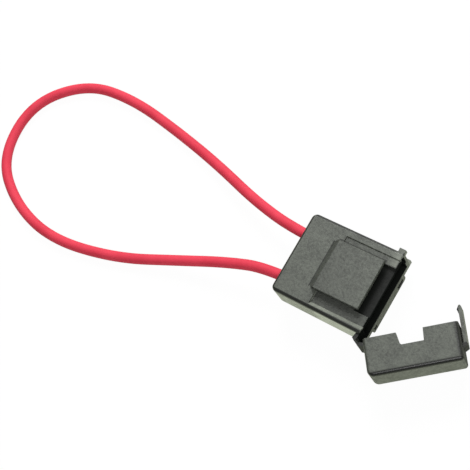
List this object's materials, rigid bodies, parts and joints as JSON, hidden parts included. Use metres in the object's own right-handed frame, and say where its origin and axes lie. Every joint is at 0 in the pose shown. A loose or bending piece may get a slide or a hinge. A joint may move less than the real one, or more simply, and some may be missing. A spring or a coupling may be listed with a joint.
{
  "type": "fuse holder",
  "caption": "Inline blade fuse holder: flat moulded box with a raised ganging pad, a strap-hinged cap with a latch arm standing open, and a wire loop in both ports.",
  "frame": {"origin": "on the face of the guides that the holder rests on, in the middle of the housing's length and width", "axes": "+X from the wire end to the open end, +Y from the hinge side to the latch side, +Z out of the face with the ganging pad"},
  "size_m": [0.1724, 0.0544, 0.0145],
  "materials": {
    "moulding": "fine satin texture",
    "terminal": "stamped sheet",
    "conductor": "bare copper strands",
    "insulation": "satin"
  },
  "bodies": {
    "housing": {"housing": "moulding", "hinge_strap": "moulding", "terminal_latch_side": "terminal", "terminal_hinge_side": "terminal", "conductor_latch_side": "conductor", "conductor_hinge_side": "conductor", "wire_loop": "insulation"},
    "cap": {"cap": "moulding", "latch_arm": "moulding"}
  },
  "joints": [
    {"name": "cap_hinge", "type": "hinge", "parent": "housing", "child": "cap", "pos_m": [0.01543, -0.0153, 0.00795], "axis": [0, 0, 1], "range_deg": [-60, 52.5], "deforming": ["hinge_strap", "latch_arm"]}
  ]
}
